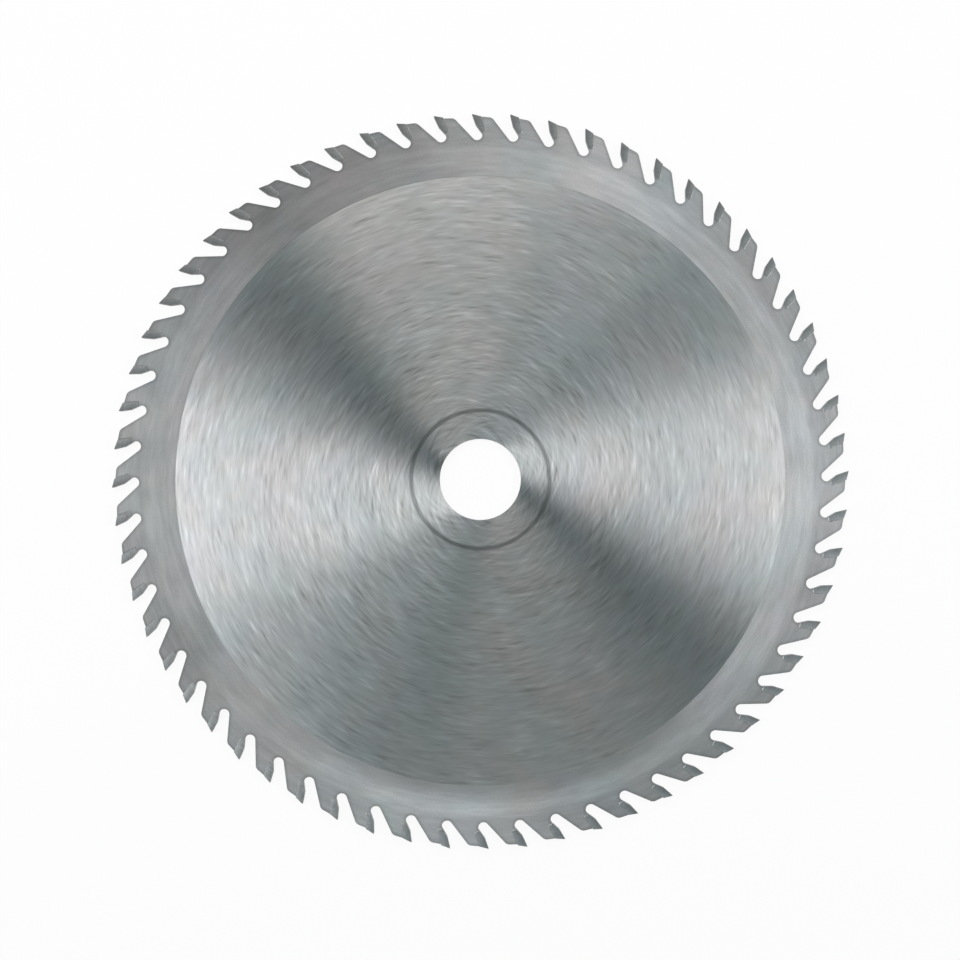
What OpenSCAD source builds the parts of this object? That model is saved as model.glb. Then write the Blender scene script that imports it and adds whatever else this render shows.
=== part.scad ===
// Circular saw blade with brazed carbide tips, lying flat.
// Origin at the centre of the bore, half way through the plate. +Z runs along the bore, and one tip points to +X.
// The teeth cut counter-clockwise when the blade is seen from +Z.

/* [Plate] */
// Cutting diameter, over the points of the tips
blade_d = 230; // [200:1:300]
// Number of teeth, even so that left and right bevels alternate all the way round
tooth_count = 60; // [40:2:64]
// Diameter of the arbor bore
bore_d = 25.4; // [16:0.1:40]
// Thickness of the steel plate at its rim
plate_t = 1.8; // [1.4:0.1:2.2]
// Width of the blasted rim, from the tip circle in to the ground field
rim_w = 19.7; // [12:0.1:40]
// Depth of the ground field below the face of the rim
field_relief = 0.05; // [0.02:0.01:0.1]
// Width of the clamping face, from the bore out to the turned line
hub_w = 8.9; // [4:0.1:20]
// Width of the turned line
line_w = 0.7; // [0.3:0.05:1.2]
// Depth of the turned line
line_depth = 0.15; // [0.05:0.05:0.3]

/* [Teeth] */
// Depth from the tip circle to the bottom of a gullet
gullet_depth = 8.45; // [7.5:0.05:10]
// Radius of the bottom of a gullet
gullet_r = 1.65; // [1:0.05:1.9]
// Distance of the gullet's centre behind the point of its tip
gullet_setback = 1.45; // [1:0.05:2.2]
// Lean of the gullet wall below the cutting face, from the radius
gullet_front_angle = 35; // [28:1:40]
// Lean of the gullet wall along the back of the next tooth, from the radius
gullet_back_angle = 42; // [38:0.5:48]
// Drop of the tooth's shoulder below the tip circle, where it meets the tip
shoulder_drop = 1.05; // [0.8:0.05:1.6]
// Fall of the shoulder behind the tip, from a square to the radius
shoulder_fall = 6; // [0:1:12]
// Radius of the shoulder's rounded back corner
shoulder_round = 2; // [0.5:0.1:2.6]

/* [Carbide tips] */
// Width of the tip across its cutting edge, which is the kerf
kerf = 2.6; // [2.4:0.1:3.4]
// Distance from the cutting edge to the back wall of the seat
tip_depth = 2.6; // [2.2:0.05:3.2]
// Height of the tip, from the tip circle to its seat
tip_height = 5.3; // [4.6:0.1:5.5]
// Lean of the seat's back wall, from the radius
seat_angle = 16; // [8:1:20]
// Lean of the cutting face, from the radius
hook_angle = 18; // [8:1:24]
// Fall of the tip's top behind its cutting edge
top_clearance = 15; // [8:1:20]
// Slant of the tip's top across the kerf
bevel_angle = 5; // [4:1:15]
// Narrowing of the tip towards the bore, on each side
radial_clearance = 1; // [0.25:0.25:2]
// Narrowing of the tip behind its cutting edge, on each side
side_clearance = 2; // [0.5:0.5:3]

/* [Hidden] */
$fn = 180;

// Spare length by which blanks and cutters pass the faces that they make
spare = 2;
// Amount by which straight walls stop short of tangent, so that they cross the round corners cleanly
blend = 0.005;

pair_count = tooth_count / 2;
pitch = 360 / tooth_count;

tip_r = blade_d / 2;
field_r = tip_r - rim_w;
field_face = plate_t / 2 - field_relief;
line_r = bore_d / 2 + hub_w;

// One tooth is drawn with its point on +X: x is the radius, and y runs forward, the way the blade turns.
point = [tip_r, 0];
outside = [tip_r + spare, 0];
level = 90;

// Gullet in front of the tooth
gullet_c = [tip_r - gullet_depth + gullet_r, -gullet_setback];
wall_inset = gullet_r - blend;
front_foot = gullet_c + wall_inset * along(gullet_front_angle - 90);
back_foot = gullet_c + wall_inset * along(gullet_back_angle + 90);
back_top = meet(back_foot, gullet_back_angle, outside, level);

// Tip and its seat
seat_top = meet([tip_r, -tip_depth], seat_angle, outside, level);
seat_corner = meet(seat_top, seat_angle, [tip_r - tip_height, 0], level);
seat_front = meet(seat_corner, seat_angle + 90, front_foot, gullet_front_angle);
face_foot = meet(point, hook_angle, front_foot, gullet_front_angle);
face_top = meet(point, hook_angle, outside, level);

// Shoulder behind the tip, and the wall of the gullet behind it
shoulder_angle = level - shoulder_fall;
shoulder_top = meet(seat_top, seat_angle, [tip_r - shoulder_drop, 0], level);
rear_angle = gullet_back_angle - pitch;
rear_foot = turned(back_foot, -pitch);
rear_corner = meet(shoulder_top, shoulder_angle, rear_foot, rear_angle);
shoulder_end = rear_corner - spare * along(shoulder_angle);
shoulder_out = [outside[0], shoulder_end[1]];

// Centre of the shoulder's rounded back corner
round_inset = shoulder_round - blend;
round_c = meet(
    shoulder_top + round_inset * along(shoulder_angle + 90), shoulder_angle,
    rear_foot + round_inset * along(rear_angle + 90), rear_angle
);

// Unit vector at an angle from the tooth's own radius
function along(angle) = [cos(angle), sin(angle)];

function turned(p, angle) = p[0] * along(angle) + p[1] * along(angle + 90);

function cross2(u, v) = u[0] * v[1] - u[1] * v[0];

// Point where the line through p at one angle meets the line through q at another
function meet(p, p_angle, q, q_angle) =
    p + along(p_angle) * cross2(q - p, along(q_angle)) / cross2(along(p_angle), along(q_angle));

function pair_name(i) = str("tip_pair_", i < 10 ? "0" : "", i);

// Everything cut away round one tooth: its gullet, its seat, the space over its shoulder and its back corner
module tooth_waste() {
    translate(gullet_c)
        circle(gullet_r);
    polygon([
        back_foot, back_top, shoulder_out, shoulder_end, shoulder_top,
        seat_corner, seat_front, front_foot
    ]);
    translate(round_c)
        corner_waste();
}

// The waste outside the rounded back corner, between the directions square to its two sides
module corner_waste() {
    to_shoulder = 2 * shoulder_round * along(shoulder_angle - 90);
    to_gullet = 2 * shoulder_round * along(rear_angle - 90);
    difference() {
        polygon([[0, 0], to_gullet, to_gullet + to_shoulder, to_shoulder]);
        circle(shoulder_round);
    }
}

module plate_outline() {
    difference() {
        circle(tip_r);
        for (i = [0 : tooth_count - 1])
            rotate(i * pitch)
                tooth_waste();
        circle(d = bore_d);
    }
}

// What is ground and turned off one face: the field, and the line round the hub
module face_waste() {
    translate([0, 0, field_face])
        cylinder(r = field_r, h = spare);
    rotate_extrude()
        polygon([
            [line_r - line_w / 2, field_face],
            [line_r, field_face - line_depth],
            [line_r + line_w / 2, field_face],
            [line_r, plate_t]
        ]);
}

module saw_plate() {
    color("silver")
        difference() {
            linear_extrude(plate_t, center = true)
                plate_outline();
            face_waste();
            mirror([0, 0, 1])
                face_waste();
        }
}

// Block that is ground off one side of a tip, leaning in towards the bore and towards the back
module side_waste() {
    size = 2 * (tip_height + spare);
    translate([tip_r, 0, kerf / 2])
        rotate([side_clearance, -radial_clearance, 0])
            translate([-size / 2, -size / 2, 0])
                cube([size, size, 2 * spare]);
}

// Block that is ground off the top of a tip, falling to the back and away from the +Z corner
module top_waste() {
    size = 2 * (tip_depth + kerf + spare);
    translate([tip_r, 0, kerf / 2])
        rotate([0, bevel_angle, -top_clearance])
            translate([0, -size / 2, -size / 2])
                cube(size);
}

// One tip, with its high corner on the +Z side
module carbide_tip() {
    difference() {
        linear_extrude(kerf + spare, center = true)
            polygon([face_top, seat_top, seat_corner, seat_front, face_foot]);
        side_waste();
        mirror([0, 0, 1])
            side_waste();
        top_waste();
    }
}

// Two neighbouring tips, the first with its high corner up and the second with its high corner down
module tip_pair(i) {
    first_turn = 2 * (i - 1) * pitch;
    color("dimgray") {
        rotate(first_turn)
            carbide_tip();
        rotate(first_turn + pitch)
            mirror([0, 0, 1])
                carbide_tip();
    }
}

saw_plate();
for (i = [1 : pair_count])
    tip_pair(i);
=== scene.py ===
"""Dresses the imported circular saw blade.

It gives the blade its ground, blasted and cut steel, carbide tips and braze seams, and sets a studio stage.
"""
import math

import bmesh
import bpy
from bpy.props import FloatProperty, FloatVectorProperty, IntProperty, PointerProperty
from mathutils import Matrix, Vector, noise


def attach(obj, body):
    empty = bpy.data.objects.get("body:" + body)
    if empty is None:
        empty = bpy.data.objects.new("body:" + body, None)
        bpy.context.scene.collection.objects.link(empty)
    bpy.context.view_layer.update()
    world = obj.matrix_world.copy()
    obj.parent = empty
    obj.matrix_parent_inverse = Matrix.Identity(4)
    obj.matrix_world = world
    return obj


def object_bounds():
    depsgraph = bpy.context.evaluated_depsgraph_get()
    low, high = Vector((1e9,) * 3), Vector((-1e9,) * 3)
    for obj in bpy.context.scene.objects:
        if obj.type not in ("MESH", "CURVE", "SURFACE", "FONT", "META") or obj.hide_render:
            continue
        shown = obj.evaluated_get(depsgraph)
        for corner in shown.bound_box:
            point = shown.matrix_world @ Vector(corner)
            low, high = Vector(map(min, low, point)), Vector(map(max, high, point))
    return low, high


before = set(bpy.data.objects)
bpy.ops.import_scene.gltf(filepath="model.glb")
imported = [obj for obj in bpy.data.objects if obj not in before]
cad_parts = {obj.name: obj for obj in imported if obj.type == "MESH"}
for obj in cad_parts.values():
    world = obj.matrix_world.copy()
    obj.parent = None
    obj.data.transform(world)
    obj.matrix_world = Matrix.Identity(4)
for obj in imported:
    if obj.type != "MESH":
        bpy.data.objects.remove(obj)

bl_info = {
    "name": "Circular Saw Blade Dresser",
    "version": (1, 0, 0),
    "blender": (4, 5, 0),
    "location": "3D View > Sidebar > Saw Blade",
    "description": "Gives the packed saw blade its finishes, braze seams and studio stage",
    "category": "Object",
}

CAD_LOW, CAD_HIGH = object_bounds()
PLATE = "saw_plate"
TIPS = sorted(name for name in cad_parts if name.startswith("tip_pair"))

MM = 0.001
QUARTER_TURN = math.pi / 2
IMAGE_PIXELS = 960
SENSOR_WIDTH_MM = 36.0

# The part of a noise's range from 0 to 1 that most of its values lie in
NOISE_LOW = 0.3
NOISE_HIGH = 0.7


def length(name, description, default):
    """A size in metres that a user may change."""
    return FloatProperty(
        name=name,
        description=description,
        default=default,
        min=0.0,
        precision=5,
        subtype="DISTANCE",
        unit="LENGTH",
    )


def colour(name, description, default):
    """A finish colour that a user may change."""
    return FloatVectorProperty(
        name=name, description=description, default=default, min=0.0, max=1.0, size=3, subtype="COLOR"
    )


def angle(name, description, degrees):
    """An angle that a user may change."""
    return FloatProperty(
        name=name, description=description, default=math.radians(degrees), subtype="ANGLE", unit="ROTATION"
    )


def amount(name, description, default, low=0.0, high=1.0):
    """A plain number that a user may change."""
    return FloatProperty(
        name=name, description=description, default=default, min=low, max=high, subtype="FACTOR"
    )


class ToothSizes(bpy.types.PropertyGroup):
    """Sizes of one tooth, as the solids have them"""

    teeth: IntProperty(
        name="Teeth", description="Number of tips round the blade", default=2 * len(TIPS), min=2
    )
    hook: angle("Hook", "Lean of the cutting face from the radius", 18.0)
    seat_depth: length("Seat depth", "From the cutting edge back to the seat's wall", 2.6 * MM)
    seat_height: length("Seat height", "From the tip circle in to the seat's corner", 5.3 * MM)
    seat_lean: angle("Seat lean", "Lean of the seat's wall from the radius", 16.0)
    seat_floor: length("Seat floor", "From the seat's corner forward to the gullet", 1.48 * MM)
    shoulder_drop: length("Shoulder drop", "From the tip circle in to the shoulder", 1.05 * MM)
    shoulder_fall: angle("Shoulder fall", "Fall of the shoulder behind the tip", 6.0)
    gullet_depth: length("Gullet depth", "From the tip circle in to the bottom of a gullet", 8.45 * MM)
    gullet_radius: length("Gullet radius", "Radius of the bottom of a gullet", 1.65 * MM)
    gullet_setback: length("Gullet setback", "From the tip's point back to the gullet's centre", 1.45 * MM)
    gullet_front: angle("Gullet front", "Lean of the wall under the cutting face", 35.0)
    gullet_back: angle("Gullet back", "Lean of the wall along the next tooth's back", 42.0)


class PlateFinish(bpy.types.PropertyGroup):
    """Sizes and colours of the steel plate's finishes"""

    rim_step: length("Rim step", "Height that parts the rim's face from the ground field", 0.875 * MM)
    field_edge: length("Field edge", "Radius at which the ground field meets the rim", 95.3 * MM)
    line_inner: length("Line inner radius", "Where the turned line's groove begins", 21.2 * MM)
    line_outer: length("Line outer radius", "Where the turned line's groove ends", 22.0 * MM)
    slant: length("Grinding slant", "How far beside the bore's centre the grinding aims", 7.1 * MM)
    scratch_length: length("Scratch length", "Usual length of a grinding scratch", 10.0 * MM)
    scratch_width: length("Scratch width", "Usual distance between grinding scratches", 1.15 * MM)
    # The next three set a painted shade along the rim's inner edge on one side of the blade.
    edge_shade_bearing: angle("Thin side", "Bearing of the side where the rim's blasting is thin", -88.0)
    edge_shade_width: length("Thin width", "How far the thin blasting reaches out over the rim", 7.5 * MM)
    edge_shade_loss: amount("Thin loss", "How much darker the thin blasting is", 0.36)
    tooth_ring: length("Tooth ring radius", "Where the rim begins to darken towards the teeth", 103.0 * MM)
    field_steel: colour("Ground steel", "Colour of the ground field and hub", (0.573, 0.568, 0.572))
    rim_steel: colour("Blasted steel", "Colour of the matt rim", (0.531, 0.526, 0.534))
    # The turned line's colour is the groove's painted shade on ground steel.
    shaded_line_steel: colour("Turned line", "Colour of the darkened groove", (0.305, 0.31, 0.31))
    cut_steel: colour("Cut steel", "Colour of the bore's and the gullets' walls", (0.36, 0.365, 0.365))

    def scratch_layers(self):
        """Slant, length, width, shift and weight of each layer of grinding scratches."""
        long, wide = self.scratch_length, self.scratch_width
        return (
            (self.slant, long, wide, 0.0, 0.80),
            (0.2 * self.slant, 0.55 * long, 0.5 * wide, 17.0, 0.55),
            (-0.8 * self.slant, 0.8 * long, 0.8 * wide, 31.0, 0.55),
        )

    @staticmethod
    def rim_sheen_waves():
        """Waves round the rim, strength and bearing in degrees of each swing in the rim's tone: painted
        highlights and painted shade that stand in for the rim's reflections.
        """
        return (
            (1, 0.305, -38.9),
            (2, 0.107, 53.2),
            (3, 0.077, 39.2),
            (4, 0.131, -10.7),
        )


class TipFinish(bpy.types.PropertyGroup):
    """Sizes and colours of the carbide tips and their braze"""

    seam_width: length("Seam width", "Width of the braze on the plate beside a tip", 0.27 * MM)
    carbide: colour("Carbide", "Colour of the ground carbide", (0.362, 0.367, 0.372))
    braze: colour("Braze", "Colour of the silver braze", (0.48, 0.485, 0.478))


class StageFinish(bpy.types.PropertyGroup):
    """Camera, lamps and floor of the studio stage"""

    camera_distance: length("Camera distance", "From the middle of the blade to the camera", 0.52)
    camera_left: length("Camera left", "How far the camera stands to the left of the bore's axis", 0.1 * MM)
    camera_down: length("Camera down", "How far the camera stands below the bore's axis", 0.18 * MM)
    camera_elevation: angle("Camera elevation", "Height of the camera above the plane of the blade", 88.5)
    camera_roll: angle("Camera roll", "Turn of the blade in the picture, counter-clockwise", 1.31)
    tip_circle_pixels: FloatProperty(
        name="Tip circle",
        description="Radius of the tip circle in the picture, in pixels",
        default=368.5,
        min=10.0,
    )
    key_strength: amount("Soft box strength", "Overall strength of the five soft boxes", 1.0, 0.0, 10.0)
    floor_white: colour("Floor", "Colour of the floor and backdrop", (0.90, 0.90, 0.90))
    surround: colour("Surround", "Colour of the dim room round the stage", (0.001, 0.045, 0.050))


class Bench:
    """Adds nodes to one node tree and wires them up."""

    def __init__(self, tree):
        self.tree = tree

    def add(self, kind, inputs=None, **settings):
        """One node; inputs maps a socket's name or number to a value or to another node's socket."""
        made = self.tree.nodes.new(kind)
        for key, value in settings.items():
            setattr(made, key, value)
        for key, value in (inputs or {}).items():
            self.feed(made.inputs[key], value)
        return made

    def feed(self, socket, value):
        """Links a socket to another, or sets its plain value."""
        if isinstance(value, bpy.types.NodeSocket):
            self.tree.links.new(value, socket)
        elif socket.type == "RGBA" and len(value) == 3:
            socket.default_value = (*value, 1.0)
        else:
            socket.default_value = value

    def math(self, operation, *values, clamp=False):
        """A Math node's result."""
        inputs = dict(enumerate(values))
        return self.add("ShaderNodeMath", inputs, operation=operation, use_clamp=clamp).outputs[0]

    def product(self, first, *others):
        """All the numbers multiplied together, in order."""
        for other in others:
            first = self.math("MULTIPLY", first, other)
        return first

    def vector(self, operation, *values):
        """A Vector Math node's vector result."""
        inputs = dict(enumerate(values))
        return self.add("ShaderNodeVectorMath", inputs, operation=operation).outputs["Vector"]

    def measure(self, operation, *values):
        """A Vector Math node's number result."""
        inputs = dict(enumerate(values))
        return self.add("ShaderNodeVectorMath", inputs, operation=operation).outputs["Value"]

    def scaled(self, vector, factor):
        """A vector or a colour times a number."""
        made = self.add("ShaderNodeVectorMath", {0: vector, 3: factor}, operation="SCALE")
        return made.outputs["Vector"]

    def join(self, x, y, z):
        """A vector from three numbers."""
        return self.add("ShaderNodeCombineXYZ", {0: x, 1: y, 2: z}).outputs[0]

    def split(self, vector):
        """The three numbers of a vector."""
        return self.add("ShaderNodeSeparateXYZ", {0: vector}).outputs

    def place(self):
        """Place on the object, in metres, in the blade's own frame."""
        return self.add("ShaderNodeTexCoord").outputs["Object"]

    def flat_place(self):
        """The two numbers of the place that lie in the plane of the blade."""
        return self.split(self.place())[:2]

    def reach(self, x, y):
        """Distance from the bore's axis."""
        return self.measure("LENGTH", self.join(x, y, 0.0))

    def noise(self, vector, scale, detail=2.0, roughness=0.5):
        """Fractal noise from 0 to 1."""
        inputs = {"Vector": vector, "Scale": scale, "Detail": detail, "Roughness": roughness}
        return self.add("ShaderNodeTexNoise", inputs).outputs[0]

    def ramp(self, value, low, high, to_low=0.0, to_high=1.0, smooth=True):
        """Value taken from one range to another, and held at its ends."""
        kind = "SMOOTHSTEP" if smooth else "LINEAR"
        inputs = {"Value": value, "From Min": low, "From Max": high, "To Min": to_low, "To Max": to_high}
        return self.add("ShaderNodeMapRange", inputs, interpolation_type=kind).outputs[0]

    def noise_ramp(self, value, to_low, to_high, smooth=True):
        """The part of a noise that holds most of its values, taken to another range."""
        return self.ramp(value, NOISE_LOW, NOISE_HIGH, to_low, to_high, smooth)


def make_group(name, inputs, outputs):
    """A new shader node group with named sockets; returns it, its bench, its inputs and its results."""
    tree = bpy.data.node_groups.new(name, "ShaderNodeTree")
    for label, default in inputs:
        socket = tree.interface.new_socket(label, in_out="INPUT", socket_type="NodeSocketFloat")
        socket.default_value = default
    for label in outputs:
        tree.interface.new_socket(label, in_out="OUTPUT", socket_type="NodeSocketFloat")
    bench = Bench(tree)
    given = bench.add("NodeGroupInput").outputs
    result = bench.add("NodeGroupOutput").inputs
    return tree, bench, given, result


def use_group(bench, tree, output, **inputs):
    """Places a node group in a material with its own values and returns one of its outputs."""
    made = bench.add("ShaderNodeGroup", node_tree=tree)
    for label, value in inputs.items():
        bench.feed(made.inputs[label], value)
    return made.outputs[output]


def grinding_scratches():
    """Group: scratches that run round the bore at a slant, with no join anywhere round the disc."""
    name = "grinding_scratches"
    if name in bpy.data.node_groups:
        return bpy.data.node_groups[name]
    inputs = (
        ("Slant", 6.5 * MM),
        ("Length", 7.0 * MM),
        ("Width", 1.0 * MM),
        ("Shift", 0.0),
        ("Detail", 3.0),
    )
    half_apart, roughness, middle = 40.0, 0.6, 0.5
    fade, no_radius = 0.45, 1e-6
    tree, bench, given, result = make_group(name, inputs, ("Scratch",))
    x, y = bench.flat_place()
    radius = bench.reach(x, y)
    along = bench.scaled(bench.join(x, y, 0.0), bench.math("DIVIDE", 1.0, given["Length"]))
    along_x, along_y = bench.split(along)[:2]
    layers = []
    for side in (1.0, -1.0):
        turn = bench.math("ARCTAN2", bench.math("MULTIPLY", y, side), bench.math("MULTIPLY", x, side))
        spiral = bench.math("SUBTRACT", radius, bench.math("MULTIPLY", turn, given["Slant"]))
        across = bench.math("ADD", bench.math("DIVIDE", spiral, given["Width"]), given["Shift"])
        spot = bench.join(along_x, along_y, bench.math("ADD", across, half_apart * side))
        layers.append(bench.math("SUBTRACT", bench.noise(spot, 1.0, given["Detail"], roughness), middle))
    cosine = bench.math("DIVIDE", x, bench.math("ADD", radius, no_radius))
    right = bench.ramp(cosine, -fade, fade)
    left = bench.math("SUBTRACT", 1.0, right)
    mixed = bench.math("ADD", bench.product(layers[0], right), bench.product(layers[1], left))
    spread = bench.math("ADD", bench.product(right, right), bench.product(left, left))
    even = bench.math("DIVIDE", mixed, bench.math("SQRT", spread))
    bench.feed(result["Scratch"], bench.math("ADD", even, middle, clamp=True))
    return tree


def cloudy_tone():
    """Group: soft cloudy patches round 1, for handled, blasted or heat-touched metal."""
    name = "cloudy_tone"
    if name in bpy.data.node_groups:
        return bpy.data.node_groups[name]
    detail, roughness, middle = 3.0, 0.55, 0.5
    inputs = (("Patch", 12.0 * MM), ("Contrast", 0.2))
    tree, bench, given, result = make_group(name, inputs, ("Tone",))
    scale = bench.math("DIVIDE", 1.0, given["Patch"])
    patches = bench.noise(bench.place(), scale, detail, roughness)
    swing = bench.product(bench.math("SUBTRACT", patches, middle), given["Contrast"])
    bench.feed(result["Tone"], bench.math("ADD", bench.product(swing, 2.0), 1.0))
    return tree


def fine_grain():
    """Group: grain of a blasted or sintered surface, as a height and as a tone."""
    name = "fine_grain"
    if name in bpy.data.node_groups:
        return bpy.data.node_groups[name]
    detail, roughness = 2.0, 0.7
    lowest, highest, darkest, lightest = 0.25, 0.75, 0.93, 1.07
    tree, bench, given, result = make_group(name, (("Grain", 0.3 * MM),), ("Height", "Tone"))
    scale = bench.math("DIVIDE", 1.0, given["Grain"])
    pits = bench.noise(bench.place(), scale, detail, roughness)
    bench.feed(result["Height"], pits)
    bench.feed(result["Tone"], bench.ramp(pits, lowest, highest, darkest, lightest))
    return tree


def uneven_round():
    """Group: a tone round 1 that rises and falls round the blade, one or more times a turn."""
    name = "uneven_round"
    if name in bpy.data.node_groups:
        return bpy.data.node_groups[name]
    inputs = (("Waves", 1.0), ("Strength", 0.2), ("Bearing", 0.0))
    tree, bench, given, result = make_group(name, inputs, ("Tone",))
    x, y = bench.flat_place()
    turn = bench.math("SUBTRACT", bench.math("ARCTAN2", y, x), given["Bearing"])
    swing = bench.math("COSINE", bench.math("MULTIPLY", turn, given["Waves"]))
    bench.feed(result["Tone"], bench.math("MULTIPLY_ADD", swing, given["Strength"], 1.0))
    return tree


def heading(lean):
    """Unit vector at an angle from the tooth's own radius."""
    return Vector((math.cos(lean), math.sin(lean)))


def behind_line(bench, u, v, start, lean):
    """Distance behind a leaning line, for a place on the tooth."""
    ahead = heading(lean)
    behind = bench.math("MULTIPLY_ADD", u, ahead.y, start.y * ahead.x - start.x * ahead.y)
    return bench.math("SUBTRACT", behind, bench.math("MULTIPLY", v, ahead.x))


def along_line(bench, u, v, start, lean):
    """Distance along a leaning line from its start, for a place on the tooth."""
    ahead = heading(lean)
    along = bench.math("MULTIPLY_ADD", u, ahead.x, -start.dot(ahead))
    return bench.math("MULTIPLY_ADD", v, ahead.y, along)


def tooth_place(sizes):
    """Group: place on a tooth, as distances behind the cutting face and from the nearest gullet's edge."""
    name = "tooth_place"
    if name in bpy.data.node_groups:
        return bpy.data.node_groups[name]
    pitch = math.tau / sizes.teeth
    first_turn, last_turn = -0.75 * pitch, 0.25 * pitch
    tree, bench, _, result = make_group(name, (), ("Behind", "Edge"))
    x, y = bench.flat_place()
    radius = bench.reach(x, y)
    turn = bench.math("WRAP", bench.math("ARCTAN2", y, x), last_turn, first_turn)
    u = bench.math("MULTIPLY", radius, bench.math("COSINE", turn))
    v = bench.math("MULTIPLY", radius, bench.math("SINE", turn))
    bench.feed(result["Behind"], behind_line(bench, u, v, Vector((CAD_HIGH.x, 0.0)), sizes.hook))
    centre = Vector((CAD_HIGH.x - sizes.gullet_depth + sizes.gullet_radius, -sizes.gullet_setback))
    front_foot = centre + sizes.gullet_radius * heading(sizes.gullet_front - QUARTER_TURN)
    back_foot = centre + sizes.gullet_radius * heading(sizes.gullet_back + QUARTER_TURN)
    rear_foot = back_foot @ Matrix.Rotation(pitch, 2)
    walls = (
        (front_foot, sizes.gullet_front),
        (back_foot, sizes.gullet_back),
        (rear_foot, sizes.gullet_back - pitch),
    )
    apart = bench.measure("DISTANCE", bench.join(u, v, 0.0), (centre.x, centre.y, 0.0))
    edge = bench.math("SUBTRACT", apart, sizes.gullet_radius)
    seat_edge = Vector((CAD_HIGH.x, -sizes.seat_depth))
    shoulder = seat_edge - heading(sizes.seat_lean) * sizes.shoulder_drop / math.cos(sizes.seat_lean)
    across = behind_line(bench, u, v, shoulder, QUARTER_TURN - sizes.shoulder_fall)
    edge = bench.math("MINIMUM", edge, bench.math("ABSOLUTE", across))
    for foot, lean in walls:
        across = bench.math("ABSOLUTE", behind_line(bench, u, v, foot, lean))
        before = bench.math("MULTIPLY", along_line(bench, u, v, foot, lean), -1.0)
        edge = bench.math("MINIMUM", edge, bench.math("MAXIMUM", across, before))
    bench.feed(result["Edge"], edge)
    return tree


def cloudy(bench, patch, contrast):
    """Cloudy patches of a size, round 1."""
    return use_group(bench, cloudy_tone(), "Tone", Patch=patch, Contrast=contrast)


def round_swing(bench, waves, strength, bearing):
    """A tone round 1 that swings round the blade and is highest at a bearing in degrees."""
    values = {"Waves": waves, "Strength": strength, "Bearing": math.radians(bearing)}
    return use_group(bench, uneven_round(), "Tone", **values)


def straight_scratches(bench, long, wide):
    """Scratches that run round the bore with no slant."""
    values = {"Slant": 0.0, "Length": long, "Width": wide}
    return use_group(bench, grinding_scratches(), "Scratch", **values)


def grain_height(bench, grain):
    """Height of a grain of a size."""
    return use_group(bench, fine_grain(), "Height", Grain=grain)


def grain_tone(bench, grain):
    """Tone of a grain of a size, round 1."""
    return use_group(bench, fine_grain(), "Tone", Grain=grain)


def drifted(bench, tint, tone):
    """A colour times a tone, with a little more or less red and blue from place to place."""
    red = cloudy(bench, patch=26.0 * MM, contrast=0.13)
    blue = cloudy(bench, patch=19.0 * MM, contrast=0.06)
    return bench.vector("MULTIPLY", bench.scaled(tuple(tint), tone), bench.join(red, 1.0, blue))


def across_grinding(bench, slant):
    """The direction square to the grinding scratches, along which a highlight stretches."""
    x, y = bench.flat_place()
    flat = bench.join(x, y, 0.0)
    sideways = bench.vector("NORMALIZE", bench.join(y, bench.math("MULTIPLY", x, -1.0), 0.0))
    return bench.vector("NORMALIZE", bench.vector("ADD", flat, bench.scaled(sideways, slant)))


def new_metal(name):
    """A material with a metallic Principled shader; returns it with its bench and the shader node."""
    material = bpy.data.materials.new(name)
    material.use_nodes = True
    tree = material.node_tree
    tree.nodes.clear()
    bench = Bench(tree)
    shader = bench.add("ShaderNodeBsdfPrincipled", {"Metallic": 1.0})
    bench.add("ShaderNodeOutputMaterial", {"Surface": shader.outputs[0]})
    return material, bench, shader


def add_bump(bench, shader, height, strength, depth):
    """Feeds a height into the shader's normal."""
    inputs = {"Height": height, "Strength": strength, "Distance": depth}
    bench.feed(shader.inputs["Normal"], bench.add("ShaderNodeBump", inputs).outputs[0])


def field_scratches(bench, radius, finish):
    """Crossing layers of scratches round 0, strongest near the hub and uneven from patch to patch."""
    detail, middle = 1.2, 0.5
    steep, flat = 3.0, 0.25
    near_hub, far_out, faintest = 1.25, 0.9, 0.35
    marks = None
    for slant, long, wide, shift, weight in finish.scratch_layers():
        values = {"Slant": slant, "Length": long, "Width": wide, "Shift": shift, "Detail": detail}
        layer = use_group(bench, grinding_scratches(), "Scratch", **values)
        swing = bench.math("SUBTRACT", layer, middle)
        crisp = bench.math("MULTIPLY_ADD", bench.math("ABSOLUTE", swing), steep * weight, flat * weight)
        swing = bench.math("MULTIPLY", swing, crisp)
        marks = swing if marks is None else bench.math("ADD", marks, swing)
    contrast = bench.ramp(radius, finish.line_outer, 4.0 * finish.line_outer, near_hub, far_out)
    patches = cloudy(bench, patch=14.0 * MM, contrast=1.1)
    contrast = bench.math("MULTIPLY", contrast, bench.math("MAXIMUM", patches, faintest))
    return bench.math("MULTIPLY", marks, contrast)


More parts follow.
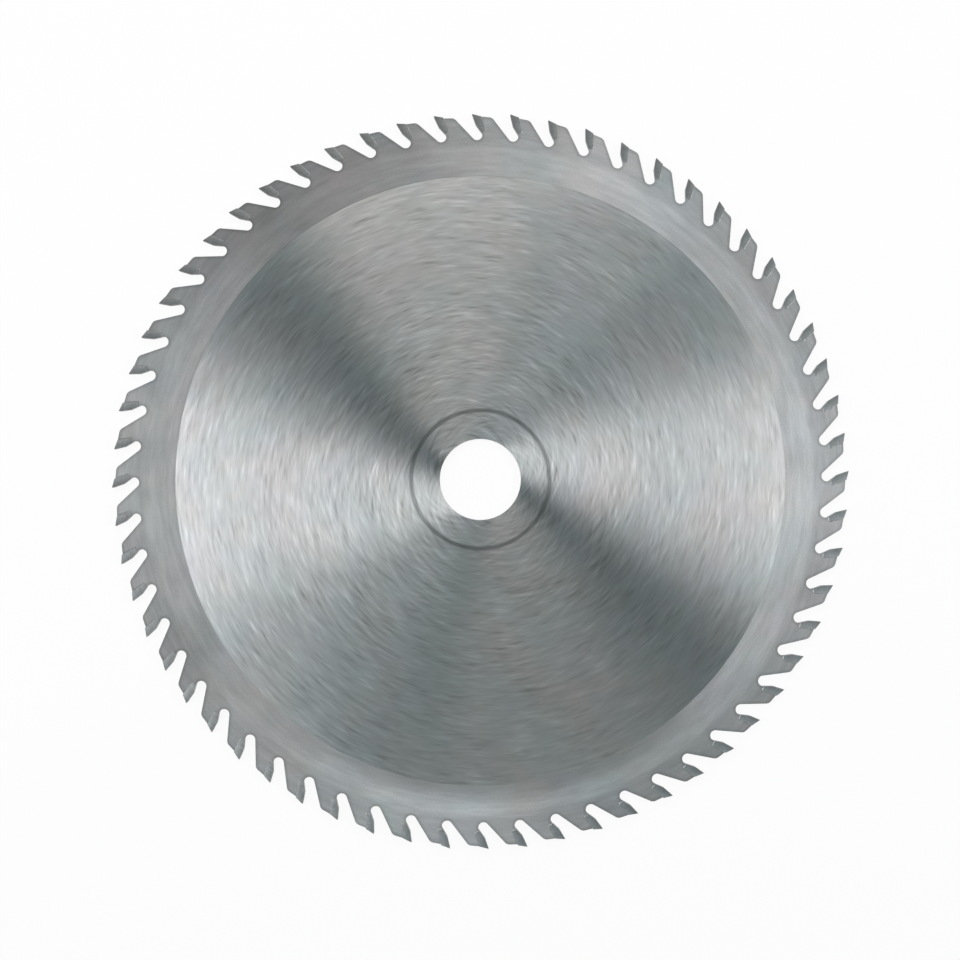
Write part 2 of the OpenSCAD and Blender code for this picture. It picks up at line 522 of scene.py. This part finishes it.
def ground_steel(finish):
    """Steel ground round the bore: crossing scratches and a highlight that fans out from the middle, with
    painted shade beside the turned line and a painted highlight along the field's edge.
    """
    groove_shade_start, groove_shade_end, groove_shade_tone = 0.35 * MM, 1.0 * MM, 0.58
    hub_tone = 1.05
    outer_start, outer_end, outer_tone = 65.0 * MM, 93.0 * MM, 1.07
    # edge_width and edge_tone set a painted highlight along the field's edge with the rim.
    edge_width, edge_tone = 6.0 * MM, 1.07
    mark_swing, deep_roughness, high_roughness = 0.3, 0.470, 0.411
    material, bench, shader = new_metal("ground_steel")
    radius = bench.reach(*bench.flat_place())
    marks = field_scratches(bench, radius, finish)
    line_middle = 0.5 * (finish.line_inner + finish.line_outer)
    from_line = bench.math("ABSOLUTE", bench.math("SUBTRACT", radius, line_middle))
    edge_start = finish.field_edge - edge_width
    tone = bench.product(
        bench.math("ADD", marks, 1.0),
        cloudy(bench, patch=22.0 * MM, contrast=0.10),
        # Painted shade: the field darkens beside the turned line's groove, which widens the groove's dark
        # line.
        bench.ramp(from_line, groove_shade_start, groove_shade_end, groove_shade_tone, 1.0),
        bench.ramp(radius, outer_start, outer_end, 1.0, outer_tone),
        bench.ramp(radius, finish.line_inner, finish.line_outer, hub_tone, 1.0),
        # Painted highlight: the field grows lighter over its last few millimetres before the rim.
        bench.ramp(radius, edge_start, finish.field_edge, 1.0, edge_tone),
    )
    roughness = bench.ramp(marks, -mark_swing, mark_swing, deep_roughness, high_roughness, smooth=False)
    bench.feed(shader.inputs["Base Color"], drifted(bench, finish.field_steel, tone))
    bench.feed(shader.inputs["Roughness"], roughness)
    shader.inputs["Anisotropic"].default_value = 0.929
    bench.feed(shader.inputs["Tangent"], across_grinding(bench, finish.slant))
    add_bump(bench, shader, marks, strength=0.15, depth=0.03 * MM)
    return material


def rim_edge_shade(bench, x, y, finish):
    """A painted shade that darkens the rim's inner edge on one side of the blade, carrying on the ground
    field's darker reflection there.
    """
    far_side, near_side = math.radians(50.0), math.radians(8.0)
    edge = finish.field_edge + 0.5 * MM
    radius = bench.reach(x, y)
    turn = bench.math("SUBTRACT", bench.math("ARCTAN2", y, x), finish.edge_shade_bearing)
    side = bench.ramp(bench.math("COSINE", turn), math.cos(far_side), math.cos(near_side))
    loss = bench.ramp(radius, edge, edge + finish.edge_shade_width, finish.edge_shade_loss, 0.0)
    return bench.math("SUBTRACT", 1.0, bench.math("MULTIPLY", side, loss))


def blasted_steel(finish, sizes):
    """Matt steel of the rim: fine grain, cloudy patches and a trace of grinding, darker at the teeth, with
    painted highlights and painted shade round the rim and along its inner edge.
    """
    outer_dark_width, outer_dark_loss = 3.4 * MM, 0.14
    edge_width, edge_tone = 1.3 * MM, 0.78
    dark_cloud, light_cloud, dark_roughness, light_roughness = 0.85, 1.15, 0.64, 0.56
    material, bench, shader = new_metal("blasted_steel")
    x, y = bench.flat_place()
    # The rim darkens from the tooth ring out towards the teeth, more on one side of the blade than on the
    # other.
    outer_dark_end = finish.tooth_ring + outer_dark_width
    outer_dark = bench.ramp(bench.reach(x, y), finish.tooth_ring, outer_dark_end, 0.0, outer_dark_loss)
    outer_dark = bench.math("MULTIPLY", outer_dark, round_swing(bench, waves=1, strength=0.35, bearing=-15.0))
    wheel = straight_scratches(bench, long=12.0 * MM, wide=1.6 * MM)
    edge = use_group(bench, tooth_place(sizes), "Edge")
    cloud = cloudy(bench, patch=30.0 * MM, contrast=0.30)
    tone = bench.product(
        cloud,
        grain_tone(bench, 0.45 * MM),
        bench.math("SUBTRACT", 1.0, outer_dark),
        bench.noise_ramp(wheel, to_low=0.90, to_high=1.10, smooth=False),
        bench.ramp(edge, 0.0, edge_width, edge_tone, 1.0),
        # Painted shade along the rim's inner edge on one side of the blade.
        rim_edge_shade(bench, x, y, finish),
    )
    # Each swing paints highlights and shade round the rim where its reflections of the soft boxes rise and
    # fall.
    for waves, strength, bearing in finish.rim_sheen_waves():
        tone = bench.math("MULTIPLY", tone, round_swing(bench, waves, strength, bearing))
    roughness = bench.ramp(cloud, dark_cloud, light_cloud, dark_roughness, light_roughness)
    bench.feed(shader.inputs["Base Color"], drifted(bench, finish.rim_steel, tone))
    bench.feed(shader.inputs["Roughness"], roughness)
    shader.inputs["Anisotropic"].default_value = 0.2
    bench.feed(shader.inputs["Tangent"], across_grinding(bench, slant=0.0))
    add_bump(bench, shader, grain_height(bench, 0.28 * MM), strength=0.25, depth=0.02 * MM)
    return material


def turned_line(finish):
    """Steel in the groove round the hub, painted dark as the groove's shade and shaded as one flat band on
    each side of the plate.
    """
    material, bench, shader = new_metal("turned_line")
    ring = straight_scratches(bench, long=4.0 * MM, wide=0.2 * MM)
    tone = bench.product(
        cloudy(bench, patch=5.0 * MM, contrast=0.5),
        bench.noise_ramp(ring, to_low=0.85, to_high=1.15, smooth=False),
    )
    roughness = bench.noise_ramp(ring, to_low=0.54, to_high=0.46, smooth=False)
    # The dark colour is painted shade for the groove.
    bench.feed(shader.inputs["Base Color"], bench.scaled(tuple(finish.shaded_line_steel), tone))
    bench.feed(shader.inputs["Roughness"], roughness)
    shader.inputs["Anisotropic"].default_value = 0.9
    bench.feed(shader.inputs["Tangent"], across_grinding(bench, finish.slant))
    height = bench.split(bench.place())[2]
    bench.feed(shader.inputs["Normal"], bench.join(0.0, 0.0, bench.math("SIGN", height)))
    return material


def cut_steel(finish):
    """Walls of the bore and the gullets: striped across the thickness by the cutting beam."""
    stripes_per_metre, detail, grit, stretch = 4200.0, 2.0, 0.6, 0.12
    material, bench, shader = new_metal("cut_steel")
    x, y, z = bench.split(bench.place())
    stripe_place = bench.join(x, y, bench.math("MULTIPLY", z, stretch))
    stripes = bench.noise(stripe_place, stripes_per_metre, detail, grit)
    tone = bench.product(
        cloudy(bench, patch=3.0 * MM, contrast=0.25),
        bench.noise_ramp(stripes, to_low=0.8, to_high=1.2, smooth=False),
    )
    roughness = bench.noise_ramp(stripes, to_low=0.6, to_high=0.42, smooth=False)
    bench.feed(shader.inputs["Base Color"], bench.scaled(tuple(finish.cut_steel), tone))
    bench.feed(shader.inputs["Roughness"], roughness)
    add_bump(bench, shader, stripes, strength=0.4, depth=0.04 * MM)
    return material


def ground_carbide(finish, sizes):
    """Carbide of the tips: dark, dense and finely ground, darkest towards the cutting face."""
    face_tone, back_tone = 0.78, 1.15
    material, bench, shader = new_metal("ground_carbide")
    behind = use_group(bench, tooth_place(sizes), "Behind")
    lines = straight_scratches(bench, long=2.5 * MM, wide=0.16 * MM)
    tone = bench.product(
        cloudy(bench, patch=2.4 * MM, contrast=0.30),
        grain_tone(bench, 0.35 * MM),
        bench.noise_ramp(lines, to_low=0.88, to_high=1.12),
        bench.ramp(behind, 0.0, sizes.seat_depth, face_tone, back_tone),
        # Painted light: the tips grow lighter towards one side of the blade and darker towards the other.
        round_swing(bench, waves=1, strength=0.35, bearing=-42.5),
    )
    bench.feed(shader.inputs["Base Color"], bench.scaled(tuple(finish.carbide), tone))
    bench.feed(shader.inputs["Roughness"], bench.noise_ramp(lines, to_low=0.55, to_high=0.44))
    height = bench.math("ADD", grain_height(bench, 0.16 * MM), lines)
    add_bump(bench, shader, height, strength=0.2, depth=0.015 * MM)
    return material


def silver_braze(finish):
    """Braze that ran out along the seats: grey, smooth and a little lumpy."""
    material, bench, shader = new_metal("silver_braze")
    lumps = grain_height(bench, 0.35 * MM)
    tone = bench.product(
        cloudy(bench, patch=0.9 * MM, contrast=0.45),
        # Painted light: the braze grows lighter towards one side of the blade and darker towards the other.
        round_swing(bench, waves=1, strength=0.36, bearing=5.0),
    )
    bench.feed(shader.inputs["Base Color"], bench.scaled(tuple(finish.braze), tone))
    bench.feed(shader.inputs["Roughness"], bench.noise_ramp(lumps, to_low=0.44, to_high=0.58))
    add_bump(bench, shader, lumps, strength=0.35, depth=0.05 * MM)
    return material


class SAW_OT_finish_plate(bpy.types.Operator):
    """Give the steel plate its ground, blasted, turned and cut finishes"""

    bl_idname = "saw.finish_plate"
    bl_label = "Finish Plate"

    GROUND, BLASTED, LINE, CUT = range(4)
    # How upright a face's normal is: below the first it is a wall, and above the second it lies flat
    WALL_LIMIT = 0.5
    FLAT_LIMIT = 0.99

    def execute(self, context):
        finish = context.scene.saw_plate_finish
        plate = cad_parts[PLATE]
        slots = plate.data.materials
        slots.clear()
        slots.append(ground_steel(finish))
        slots.append(blasted_steel(finish, context.scene.saw_tooth_sizes))
        slots.append(turned_line(finish))
        slots.append(cut_steel(finish))
        for face in plate.data.polygons:
            face.material_index = self.finish_of(face, finish)
        return {"FINISHED"}

    def finish_of(self, face, finish):
        """Number of the finish on one face of the plate."""
        upright = abs(face.normal.z)
        radius = face.center.xy.length
        if upright < self.WALL_LIMIT:
            return self.CUT
        if upright < self.FLAT_LIMIT and finish.line_inner < radius < finish.line_outer:
            return self.LINE
        return self.BLASTED if abs(face.center.z) > finish.rim_step else self.GROUND


class SAW_OT_finish_tips(bpy.types.Operator):
    """Give every pair of carbide tips its finish"""

    bl_idname = "saw.finish_tips"
    bl_label = "Finish Tips"

    def execute(self, context):
        carbide = ground_carbide(context.scene.saw_tip_finish, context.scene.saw_tooth_sizes)
        for name in TIPS:
            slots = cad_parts[name].data.materials
            slots.clear()
            slots.append(carbide)
        return {"FINISHED"}


def mesh_object(context, name, mesh, material):
    """A smooth-shaded object in the scene from a mesh that is then freed."""
    data = bpy.data.meshes.new(name)
    mesh.to_mesh(data)
    mesh.free()
    for face in data.polygons:
        face.use_smooth = True
    data.materials.append(material)
    made = bpy.data.objects.new(name, data)
    context.scene.collection.objects.link(made)
    return made


class SAW_OT_add_braze_seams(bpy.types.Operator):
    """Run a thin seam of braze along both sides of every tip's seat"""

    bl_idname = "saw.add_braze_seams"
    bl_label = "Add Braze Seams"

    PLATE_FACE = 0.9 * MM
    # Narrowing of a tip's sides towards the bore and towards its back
    SIDE_FALL = Vector((math.tan(math.radians(1.0)), math.tan(math.radians(2.0))))
    STEPS = 22
    # Lumps along the seam, and how far apart each tooth's and each side's lie in the noise
    LUMPS_PER_MM = 1.7
    LUMP_SWING = 0.55
    TOOTH_SHIFT = 9.0
    SIDE_SHIFT = 5.0
    # Width at the seam's ends, and its growth along the seam, as shares of the full width
    END_WIDTH = 0.25
    END_GROWTH = 6.0
    # How far the section is buried in the joint and in the plate, and how far it stays below the tip's side
    IN_JOINT = 0.08 * MM
    IN_PLATE = 0.10 * MM
    UNDER_FOOT = 0.02 * MM
    BELOW_SIDE = 0.03 * MM
    # Corners of the hollow face, as shares of the seam's width and of the tip's rise over the plate
    HOLLOW = ((0.22, 0.52), (0.55, 0.20))

    def execute(self, context):
        finish = context.scene.saw_tip_finish
        sizes = context.scene.saw_tooth_sizes
        mesh = bmesh.new()
        for tooth in range(sizes.teeth):
            for side in (1, -1):
                self.add_seam(mesh, tooth, side, finish, sizes)
        bmesh.ops.recalc_face_normals(mesh, faces=mesh.faces)
        seams = mesh_object(context, "braze_seams", mesh, silver_braze(finish))
        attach(seams, "root")
        return {"FINISHED"}

    def add_seam(self, mesh, tooth, side, finish, sizes):
        """One seam: rings of five corners along the seat, closed at both ends."""
        turn = Matrix.Rotation(tooth * math.tau / sizes.teeth, 4, "Z")
        rings = []
        for step in range(self.STEPS + 1):
            share = step / self.STEPS
            spot, outward = self.on_seat(share, sizes)
            width = finish.seam_width * self.lump(spot, tooth, side) * self.taper(share)
            corners = self.section(spot, outward, width, side)
            rings.append([mesh.verts.new(turn @ corner) for corner in corners])
        for near, far in zip(rings, rings[1:]):
            for k in range(len(near)):
                following = (k + 1) % len(near)
                mesh.faces.new((near[k], near[following], far[following], far[k]))
        mesh.faces.new(rings[0])
        mesh.faces.new(rings[-1])

    def lump(self, spot, tooth, side):
        """How wide the seam is at a place, round 1."""
        along_x = spot.x / MM * self.LUMPS_PER_MM
        along_y = spot.y / MM * self.LUMPS_PER_MM + self.TOOTH_SHIFT * tooth
        return 1.0 + self.LUMP_SWING * noise.noise(Vector((along_x, along_y, self.SIDE_SHIFT * side)))

    def taper(self, share):
        """How much of its width the seam has at a share of its length."""
        from_start = self.END_GROWTH * share + self.END_WIDTH
        from_end = self.END_GROWTH * (1.0 - share) + self.END_WIDTH
        return min(1.0, from_start, from_end)

    @staticmethod
    def on_seat(share, sizes):
        """A place along the seat, from the shoulder to the gullet, and the way from it out over the plate."""
        outward, forward = heading(sizes.seat_lean), heading(sizes.seat_lean + QUARTER_TURN)
        edge = Vector((CAD_HIGH.x, -sizes.seat_depth))
        top = edge - outward * sizes.shoulder_drop / outward.x
        corner = edge - outward * sizes.seat_height / outward.x
        wall = (corner - top).length
        run = share * (wall + sizes.seat_floor)
        spot = top - outward * run if run < wall else corner + forward * (run - wall)
        swing = min(1.0, max(0.0, (run - wall) / MM + 0.5))
        return spot, (-forward).lerp(-outward, swing).normalized()

    def section(self, spot, outward, width, side):
        """Five corners of the seam's section: two buried in the joint and three along its hollow face."""
        reach = spot - Vector((CAD_HIGH.x, 0.0))
        rise = CAD_HIGH.z + reach.dot(self.SIDE_FALL) - self.PLATE_FACE
        corners = [(-self.IN_JOINT, -self.IN_PLATE), (-self.IN_JOINT, rise - self.BELOW_SIDE)]
        for across, up in self.HOLLOW:
            corners.append((across * width, up * rise))
        corners.append((width, -self.UNDER_FOOT))
        made = []
        for out, up in corners:
            flat = spot + outward * out
            made.append(Vector((flat.x, flat.y, side * (self.PLATE_FACE + up))))
        return made


class SAW_OT_set_stage(bpy.types.Operator):
    """Set up the white floor, five soft boxes, the dim surround and the camera"""

    bl_idname = "saw.set_stage"
    bl_label = "Set Stage"

    INNER_ROWS = (0.02, 0.4)
    FLOOR_RADIUS = 3.6
    CURVE_RADIUS = 0.35
    CURVE_STEPS = 8
    WALL_TOP = 1.38
    AROUND = 96
    # Strength of the white that the camera and reflections see, and its share beside the lit paint
    GLOW = 1.02
    GLOW_SHARE = 0.9
    CLIP_START = 0.01
    LAMP_DISTANCE = 0.6
    # Name, azimuth and inclination from straight up in degrees, width and height in metres, strength, colour
    SOFT_BOXES = (
        ("right_box", -4.6, 48.8, 0.363, 0.139, 6.62, (1.0, 1.0, 1.0)),
        ("left_box", 179.1, 46.4, 0.389, 0.631, 2.244, (1.0, 1.0, 1.0)),
        ("top_box", 96.4, 43.7, 0.391, 0.171, 4.735, (1.0, 0.962, 0.922)),
        ("corner_box", 57.8, 62.5, 0.205, 0.32, 1.95, (0.98, 1.0, 1.0)),
        ("fill_box", 221.6, 22.5, 0.101, 0.348, 1.443, (0.95, 1.0, 1.0)),
    )

    def execute(self, context):
        stage = context.scene.saw_stage_finish
        self.add_floor(context, stage)
        for box in self.SOFT_BOXES:
            self.add_soft_box(context, stage, *box)
        self.set_world(context, stage)
        self.add_camera(context, stage)
        context.scene.view_settings.view_transform = "Standard"
        return {"FINISHED"}

    def floor_profile(self):
        """Radius and height of each row of the floor, from its middle up to the backdrop's top."""
        profile = [(out, 0.0) for out in (*self.INNER_ROWS, self.FLOOR_RADIUS)]
        for step in range(1, self.CURVE_STEPS + 1):
            bend = step / self.CURVE_STEPS * QUARTER_TURN
            out = self.FLOOR_RADIUS + self.CURVE_RADIUS * math.sin(bend)
            profile.append((out, self.CURVE_RADIUS * (1.0 - math.cos(bend))))
        profile.append((self.FLOOR_RADIUS + self.CURVE_RADIUS, self.WALL_TOP))
        return profile

    def add_floor(self, context, stage):
        """A round floor that curves up into a backdrop."""
        mesh = bmesh.new()
        rows = []
        for out, up in self.floor_profile():
            row = []
            for k in range(self.AROUND):
                bearing = k * math.tau / self.AROUND
                corner = (out * math.cos(bearing), out * math.sin(bearing), CAD_LOW.z + up)
                row.append(mesh.verts.new(corner))
            rows.append(row)
        mesh.faces.new(rows[0])
        for inner, outer in zip(rows, rows[1:]):
            for k in range(self.AROUND):
                following = (k + 1) % self.AROUND
                mesh.faces.new((inner[k], outer[k], outer[following], inner[following]))
        floor = mesh_object(context, "studio_floor", mesh, self.floor_paint(stage))

    def floor_paint(self, stage):
        """White paint that shows as plain white and still takes the blade's shadow."""
        material = bpy.data.materials.new("floor_paint")
        material.use_nodes = True
        tree = material.node_tree
        tree.nodes.clear()
        bench = Bench(tree)
        paint = bench.add("ShaderNodeBsdfDiffuse", {"Color": tuple(stage.floor_white)})
        path = bench.add("ShaderNodeLightPath").outputs
        seen = bench.math("ADD", path["Is Camera Ray"], path["Is Glossy Ray"])
        seen = bench.math("ADD", seen, path["Is Transmission Ray"], clamp=True)
        glow = bench.add("ShaderNodeEmission", {"Strength": self.GLOW})
        share = bench.math("MULTIPLY", seen, self.GLOW_SHARE)
        both = bench.add("ShaderNodeMixShader", {0: share, 1: paint.outputs[0], 2: glow.outputs[0]})
        bench.add("ShaderNodeOutputMaterial", {"Surface": both.outputs[0]})
        return material

    def add_soft_box(self, context, stage, name, azimuth, inclination, width, height, strength, tint):
        """A rectangular lamp that looks at the middle of the blade."""
        data = bpy.data.lights.new(name, "AREA")
        data.shape = "RECTANGLE"
        data.size = width
        data.size_y = height
        data.energy = strength * stage.key_strength * math.pi * width * height
        data.color = tint
        lamp = bpy.data.objects.new(name, data)
        turn = Matrix.Rotation(math.radians(azimuth + 90.0), 4, "Z")
        tilt = Matrix.Rotation(math.radians(inclination), 4, "X")
        lamp.matrix_world = turn @ tilt @ Matrix.Translation((0.0, 0.0, self.LAMP_DISTANCE))
        lamp.visible_camera = False
        context.scene.collection.objects.link(lamp)

    @staticmethod
    def set_world(context, stage):
        """A dim room, more blue-green than the lamps."""
        world = bpy.data.worlds.new("dim_room")
        world.use_nodes = True
        world.node_tree.nodes["Background"].inputs["Color"].default_value = (*stage.surround, 1.0)
        context.scene.world = world

    def add_camera(self, context, stage):
        """The camera, almost straight above the bore, framed on a square picture."""
        data = bpy.data.cameras.new("camera")
        reach = stage.camera_distance - CAD_HIGH.z
        pixels = stage.tip_circle_pixels / CAD_HIGH.x * reach
        data.sensor_fit = "HORIZONTAL"
        data.sensor_width = SENSOR_WIDTH_MM
        data.lens = pixels * SENSOR_WIDTH_MM / IMAGE_PIXELS
        data.clip_start = self.CLIP_START
        camera = bpy.data.objects.new("camera", data)
        tilt = Matrix.Rotation(QUARTER_TURN - stage.camera_elevation, 4, "X")
        roll = Matrix.Rotation(-stage.camera_roll, 4, "Z")
        place = Matrix.Translation((-stage.camera_left, -stage.camera_down, stage.camera_distance))
        camera.matrix_world = tilt @ place @ roll
        context.scene.collection.objects.link(camera)
        context.scene.camera = camera


class SAW_PT_blade(bpy.types.Panel):
    """Lists the blade's finishes and the steps that apply them"""

    bl_idname = "SAW_PT_blade"
    bl_label = "Saw Blade"
    bl_space_type = "VIEW_3D"
    bl_region_type = "UI"
    bl_category = "Saw Blade"

    def draw(self, context):
        for prop, steps in STEPS_BY_FINISH:
            box = self.layout.box()
            finish = getattr(context.scene, prop)
            for name in finish.__annotations__:
                box.prop(finish, name)
            for step in steps:
                box.operator(step)


FINISHES = (
    ("saw_tooth_sizes", ToothSizes),
    ("saw_plate_finish", PlateFinish),
    ("saw_tip_finish", TipFinish),
    ("saw_stage_finish", StageFinish),
)
STEPS_BY_FINISH = (
    ("saw_tooth_sizes", ()),
    ("saw_plate_finish", ("saw.finish_plate",)),
    ("saw_tip_finish", ("saw.finish_tips", "saw.add_braze_seams")),
    ("saw_stage_finish", ("saw.set_stage",)),
)
CLASSES = (
    ToothSizes,
    PlateFinish,
    TipFinish,
    StageFinish,
    SAW_OT_finish_plate,
    SAW_OT_finish_tips,
    SAW_OT_add_braze_seams,
    SAW_OT_set_stage,
    SAW_PT_blade,
)


def register():
    """Registers the classes and hangs each finish on the scene."""
    for kind in CLASSES:
        bpy.utils.register_class(kind)
    for prop, kind in FINISHES:
        setattr(bpy.types.Scene, prop, PointerProperty(type=kind))


def unregister():
    """Takes everything away again."""
    for prop, _ in FINISHES:
        delattr(bpy.types.Scene, prop)
    for kind in reversed(CLASSES):
        bpy.utils.unregister_class(kind)


def main():
    """Dresses the blade step by step."""
    register()
    for _, steps in STEPS_BY_FINISH:
        for step in steps:
            group, name = step.split(".")
            getattr(getattr(bpy.ops, group), name)()


if __name__ == "__main__":
    main()
